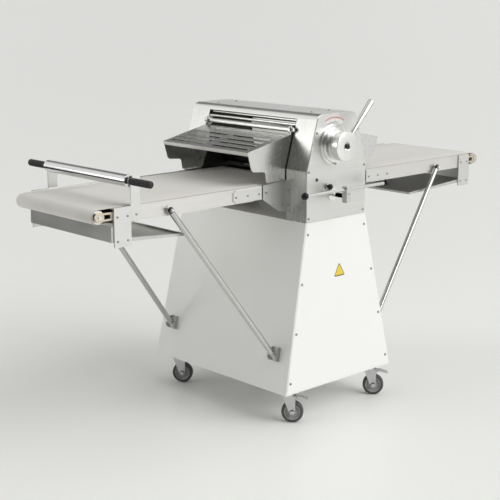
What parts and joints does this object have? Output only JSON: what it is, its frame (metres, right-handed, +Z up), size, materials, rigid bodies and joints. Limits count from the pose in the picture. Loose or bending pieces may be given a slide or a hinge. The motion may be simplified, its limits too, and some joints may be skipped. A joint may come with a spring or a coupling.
{
  "type": "dough sheeter",
  "caption": "Floor-standing reversible dough sheeter: tapered cabinet on casters, roller head with dial, slotted guards, and folding belt tables on struts.",
  "frame": {"origin": "on the floor, under the middle of the cabinet and the sheeting rollers", "axes": "+X along the tables towards the right-hand table, -Y towards the operator, +Z up"},
  "size_m": [1.9784, 0.7811, 1.1487],
  "materials": {
    "white_paint": "white powder coat, satin",
    "stainless": "brushed stainless sheet",
    "stainless_plate": "fine satin stainless plate",
    "polished": "polished steel bar and tube",
    "roller_chrome": "hard chromed roller",
    "turned_alu": "turned aluminium",
    "rail_alu": "satin anodised aluminium",
    "belt_cloth": "off-white woven conveyor belt",
    "yellow_zinc": "yellow passivated steel",
    "black_knob": "black phenolic, glossy",
    "black_grip": "black ribbed plastic over a steel axle",
    "cast": "painted casting and machined steel",
    "zinc": "bright zinc-plated pressing",
    "tyre_rubber": "grey rubber tyre on a plastic hub"
  },
  "bodies": {
    "machine": {"base_shell": "white_paint", "base_panels": "white_paint", "base_floor_pan": "white_paint", "panel_screws": "polished", "drive_motor": "cast", "side_casings": "stainless", "side_plates": "stainless_plate", "top_cover": "stainless", "cross_bars": "polished", "roller_bearings": "cast", "head_beds": "stainless", "front_bezels": "turned_alu", "belt_inner_ends": "belt_cloth", "hinge_brackets": "stainless", "strut_hooks": "zinc", "caster_plates": "zinc"},
    "lower_roller": {"lower_roller": "roller_chrome"},
    "roller_carriage": {"upper_bearing_blocks": "cast"},
    "upper_roller": {"upper_roller": "roller_chrome"},
    "gap_dial": {"gap_shaft": "polished", "gap_hub": "turned_alu", "gap_lever": "polished"},
    "direction_lever": {"direction_lever": "polished", "lever_balls": "black_knob"},
    "stop_button": {"stop_button": "black_knob"},
    "rolling_pin": {"rolling_pin_axle": "black_grip"},
    "pin_tube": {"rolling_pin_tube": "polished"},
    "drive_roller_left": {"drive_roller_left": "roller_chrome"},
    "table_left": {"table_rails_left": "rail_alu", "table_side_plates_left": "stainless_plate", "slider_bed_left": "stainless", "belt_tensioners_left": "yellow_zinc", "belt_left": "belt_cloth", "catch_tray_left": "stainless", "pin_uprights": "stainless_plate"},
    "end_roller_left": {"end_roller_left": "roller_chrome"},
    "struts_left": {"struts_left": "polished"},
    "guard_shaft_left": {"guard_shaft_left": "polished"},
    "guard_left": {"guard_left": "stainless"},
    "drive_roller_right": {"drive_roller_right": "roller_chrome"},
    "table_right": {"table_rails_right": "rail_alu", "table_side_plates_right": "stainless_plate", "slider_bed_right": "stainless", "belt_tensioners_right": "yellow_zinc", "belt_right": "belt_cloth", "catch_tray_right": "stainless"},
    "end_roller_right": {"end_roller_right": "roller_chrome"},
    "struts_right": {"struts_right": "polished"},
    "guard_shaft_right": {"guard_shaft_right": "polished"},
    "guard_right": {"guard_right": "stainless"},
    "caster_fork_front_left": {"caster_fork_front_left": "zinc"},
    "caster_wheel_front_left": {"caster_wheel_front_left": "tyre_rubber"},
    "brake_pedal_front_left": {"brake_pedal_front_left": "zinc"},
    "caster_fork_front_right": {"caster_fork_front_right": "zinc"},
    "caster_wheel_front_right": {"caster_wheel_front_right": "tyre_rubber"},
    "brake_pedal_front_right": {"brake_pedal_front_right": "zinc"},
    "caster_fork_rear_left": {"caster_fork_rear_left": "zinc"},
    "caster_wheel_rear_left": {"caster_wheel_rear_left": "tyre_rubber"},
    "caster_fork_rear_right": {"caster_fork_rear_right": "zinc"},
    "caster_wheel_rear_right": {"caster_wheel_rear_right": "tyre_rubber"}
  },
  "joints": [
    {"name": "lower_roller_spin", "type": "hinge", "parent": "machine", "child": "lower_roller", "pos_m": [0, 0, 0.831], "axis": [0, 1, 0], "continuous": true},
    {"name": "carriage_slide", "type": "slide", "parent": "machine", "child": "roller_carriage", "axis": [0, 0, 1], "range_m": [-0.0118, 0.0228]},
    {"name": "upper_roller_spin", "type": "hinge", "parent": "roller_carriage", "child": "upper_roller", "pos_m": [0, 0, 0.9035], "axis": [0, 1, 0], "continuous": true},
    {"name": "gap_dial_turn", "type": "hinge", "parent": "machine", "child": "gap_dial", "pos_m": [-0.019, 0, 0.992], "axis": [0, -1, 0], "range_deg": [-51, 99]},
    {"name": "direction_lever_tilt", "type": "hinge", "parent": "machine", "child": "direction_lever", "pos_m": [-0.024, 0, 0.816], "axis": [0, 1, 0], "range_deg": [-12, 12]},
    {"name": "stop_button_press", "type": "slide", "parent": "machine", "child": "stop_button", "axis": [0, 1, 0], "range_m": [0, 0.005], "stiffness_N_per_m": 400},
    {"name": "drive_roller_left_spin", "type": "hinge", "parent": "machine", "child": "drive_roller_left", "pos_m": [-0.064, 0, 0.837], "axis": [0, 1, 0], "continuous": true},
    {"name": "table_left_fold", "type": "hinge", "parent": "machine", "child": "table_left", "pos_m": [-0.272, 0, 0.855], "axis": [0, 1, 0], "range_deg": [0, 70]},
    {"name": "end_roller_left_spin", "type": "hinge", "parent": "table_left", "child": "end_roller_left", "pos_m": [-0.965, 0, 0.837], "axis": [0, 1, 0], "continuous": true},
    {"name": "struts_left_swing", "type": "hinge", "parent": "table_left", "child": "struts_left", "pos_m": [-0.694, 0, 0.829], "axis": [0, 1, 0], "range_deg": [-49.5, 0.5]},
    {"name": "guard_left_clear", "type": "hinge", "parent": "machine", "child": "guard_shaft_left", "pos_m": [-0.118, 0, 1.044], "axis": [0, 1, 0], "range_deg": [-0.5, 63.5]},
    {"name": "guard_left_lift", "type": "hinge", "parent": "guard_shaft_left", "child": "guard_left", "pos_m": [-0.118, 0, 1.044], "axis": [0, 1, 0], "range_deg": [0, 55]},
    {"name": "drive_roller_right_spin", "type": "hinge", "parent": "machine", "child": "drive_roller_right", "pos_m": [0.064, 0, 0.837], "axis": [0, 1, 0], "continuous": true},
    {"name": "table_right_fold", "type": "hinge", "parent": "machine", "child": "table_right", "pos_m": [0.272, 0, 0.855], "axis": [0, -1, 0], "range_deg": [0, 70]},
    {"name": "end_roller_right_spin", "type": "hinge", "parent": "table_right", "child": "end_roller_right", "pos_m": [0.965, 0, 0.837], "axis": [0, 1, 0], "continuous": true},
    {"name": "struts_right_swing", "type": "hinge", "parent": "table_right", "child": "struts_right", "pos_m": [0.694, 0, 0.829], "axis": [0, -1, 0], "range_deg": [-49.5, 0.5]},
    {"name": "guard_right_clear", "type": "hinge", "parent": "machine", "child": "guard_shaft_right", "pos_m": [0.118, 0, 1.044], "axis": [0, -1, 0], "range_deg": [-0.5, 63.5]},
    {"name": "guard_right_lift", "type": "hinge", "parent": "guard_shaft_right", "child": "guard_right", "pos_m": [0.118, 0, 1.044], "axis": [0, -1, 0], "range_deg": [0, 55]},
    {"name": "rolling_pin_lift", "type": "slide", "parent": "table_left", "child": "rolling_pin", "axis": [0, 0, 1], "range_m": [0, 0.12]},
    {"name": "pin_tube_spin", "type": "hinge", "parent": "rolling_pin", "child": "pin_tube", "pos_m": [-0.8485, 0, 0.941], "axis": [0, 1, 0], "continuous": true},
    {"name": "caster_front_left_swivel", "type": "hinge", "parent": "machine", "child": "caster_fork_front_left", "pos_m": [-0.221, -0.308, 0.1], "axis": [0, 0, 1], "continuous": true},
    {"name": "caster_front_left_roll", "type": "hinge", "parent": "caster_fork_front_left", "child": "caster_wheel_front_left", "pos_m": [-0.2075, -0.32409, 0.04], "axis": [0.766, 0.6428, 0], "continuous": true},
    {"name": "brake_pedal_front_left_press", "type": "hinge", "parent": "caster_fork_front_left", "child": "brake_pedal_front_left", "pos_m": [-0.20172, -0.33098, 0.0937], "axis": [0.766, 0.6428, 0], "range_deg": [0, 14]},
    {"name": "caster_front_right_swivel", "type": "hinge", "parent": "machine", "child": "caster_fork_front_right", "pos_m": [0.221, -0.308, 0.1], "axis": [0, 0, 1], "continuous": true},
    {"name": "caster_front_right_roll", "type": "hinge", "parent": "caster_fork_front_right", "child": "caster_wheel_front_right", "pos_m": [0.2345, -0.32409, 0.04], "axis": [0.766, 0.6428, 0], "continuous": true},
    {"name": "brake_pedal_front_right_press", "type": "hinge", "parent": "caster_fork_front_right", "child": "brake_pedal_front_right", "pos_m": [0.24028, -0.33098, 0.0937], "axis": [0.766, 0.6428, 0], "range_deg": [0, 14]},
    {"name": "caster_rear_left_swivel", "type": "hinge", "parent": "machine", "child": "caster_fork_rear_left", "pos_m": [-0.221, 0.308, 0.1], "axis": [0, 0, 1], "continuous": true},
    {"name": "caster_rear_left_roll", "type": "hinge", "parent": "caster_fork_rear_left", "child": "caster_wheel_rear_left", "pos_m": [-0.2075, 0.29191, 0.04], "axis": [0.766, 0.6428, 0], "continuous": true},
    {"name": "caster_rear_right_swivel", "type": "hinge", "parent": "machine", "child": "caster_fork_rear_right", "pos_m": [0.221, 0.308, 0.1], "axis": [0, 0, 1], "continuous": true},
    {"name": "caster_rear_right_roll", "type": "hinge", "parent": "caster_fork_rear_right", "child": "caster_wheel_rear_right", "pos_m": [0.2345, 0.29191, 0.04], "axis": [0.766, 0.6428, 0], "continuous": true}
  ],
  "couplings": [
    {"joint": "upper_roller_spin", "follows": "lower_roller_spin", "ratio": -1},
    {"joint": "carriage_slide", "follows": "gap_dial_turn", "m_per_rad": 0.013},
    {"joint": "drive_roller_left_spin", "follows": "lower_roller_spin", "ratio": 1.25},
    {"joint": "end_roller_left_spin", "follows": "lower_roller_spin", "ratio": 1.25},
    {"joint": "struts_left_swing", "follows": "table_left_fold", "ratio": -0.7},
    {"joint": "guard_left_clear", "follows": "table_left_fold", "ratio": 0.9},
    {"joint": "drive_roller_right_spin", "follows": "lower_roller_spin", "ratio": 1.25},
    {"joint": "end_roller_right_spin", "follows": "lower_roller_spin", "ratio": 1.25},
    {"joint": "struts_right_swing", "follows": "table_right_fold", "ratio": -0.7},
    {"joint": "guard_right_clear", "follows": "table_right_fold", "ratio": 0.9}
  ]
}
